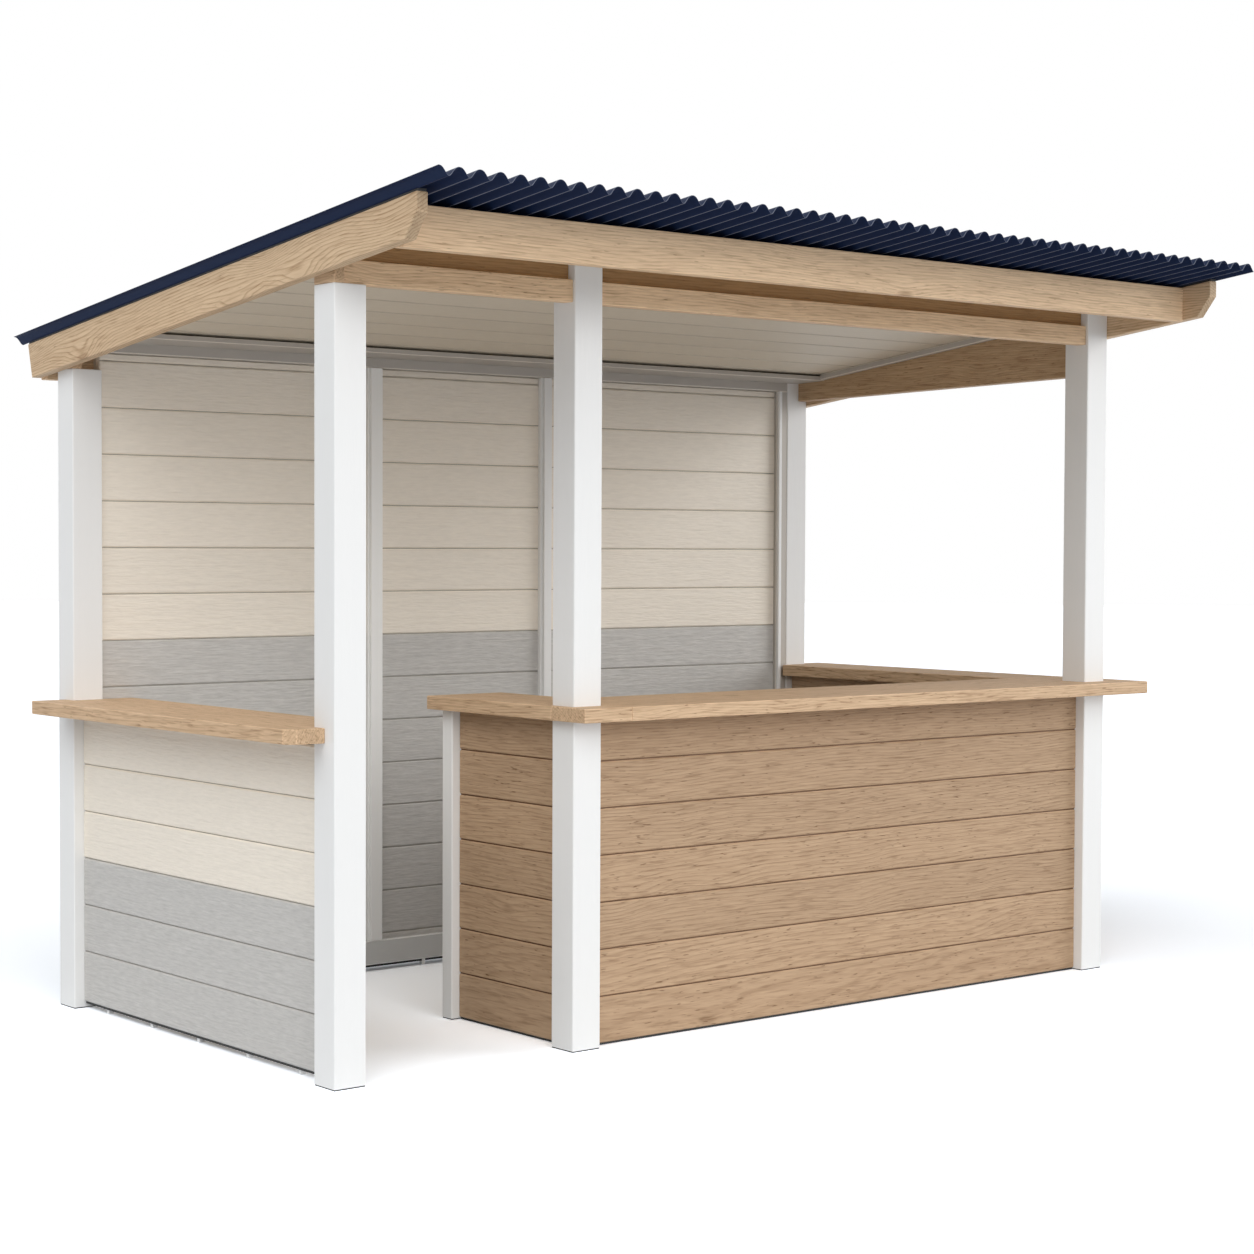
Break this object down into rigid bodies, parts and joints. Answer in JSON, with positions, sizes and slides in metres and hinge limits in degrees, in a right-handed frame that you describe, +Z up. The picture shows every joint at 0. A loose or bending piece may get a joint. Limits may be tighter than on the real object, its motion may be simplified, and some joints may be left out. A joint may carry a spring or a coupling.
{
  "type": "outdoor garden bar",
  "caption": "Open timber garden bar: single-pitch corrugated roof on posts, clad back wall, half wall with a shelf and a U-shaped clad counter beside the entry.",
  "frame": {"origin": "on the ground, at the middle of the whole part's footprint, roof and shelf overhangs included", "axes": "+X along the counter front to the right, seen from the customers' side; +Y from the front to the clad back wall; +Z up"},
  "size_m": [3.68, 2.551, 2.6015],
  "materials": {
    "white_posts": "smooth white opaque paint",
    "grey_trim": "light grey opaque paint",
    "cream_boards": "cream opaque paint over fine brushed grain",
    "grey_boards": "light grey opaque paint over fine brushed grain",
    "brown_boards": "matt oak-coloured boards with fine grain",
    "oak_timber": "matt oiled oak with knots",
    "ceiling_boards": "cream painted matchboard",
    "navy_sheet": "dark navy factory paint, half gloss"
  },
  "bodies": {
    "root": {"front_left_post": "white_posts", "back_left_post": "white_posts", "front_middle_post": "white_posts", "front_right_post": "white_posts", "back_right_post": "white_posts", "counter_end_post": "white_posts", "back_wall_left_batten": "white_posts", "back_wall_right_batten": "white_posts", "back_wall_end_batten": "white_posts", "back_wall_header": "grey_trim", "back_wall_band": "grey_trim", "back_wall_ledge": "grey_trim", "back_wall_bottom_rail": "grey_trim", "ceiling_edge_trim": "grey_trim", "back_wall_left_bay": "cream_boards", "back_wall_middle_bay": "cream_boards", "back_wall_right_bay": "cream_boards", "left_half_wall": "grey_boards", "front_counter_panel": "brown_boards", "left_return_panel": "brown_boards", "right_side_panel": "brown_boards", "left_wall_shelf": "oak_timber", "counter_corner_top": "oak_timber", "left_return_top": "oak_timber", "front_counter_top": "oak_timber", "right_side_top": "oak_timber", "front_beam_left": "oak_timber", "front_beam_right": "oak_timber", "front_plate_left": "oak_timber", "front_plate_right": "oak_timber", "left_side_beam": "oak_timber", "right_gable_board": "oak_timber", "back_beam": "oak_timber", "front_fascia": "oak_timber", "back_fascia": "oak_timber", "left_barge_board": "oak_timber", "right_barge_board": "oak_timber", "roof_deck": "ceiling_boards", "roof_sheet": "navy_sheet"}
  },
  "joints": []
}
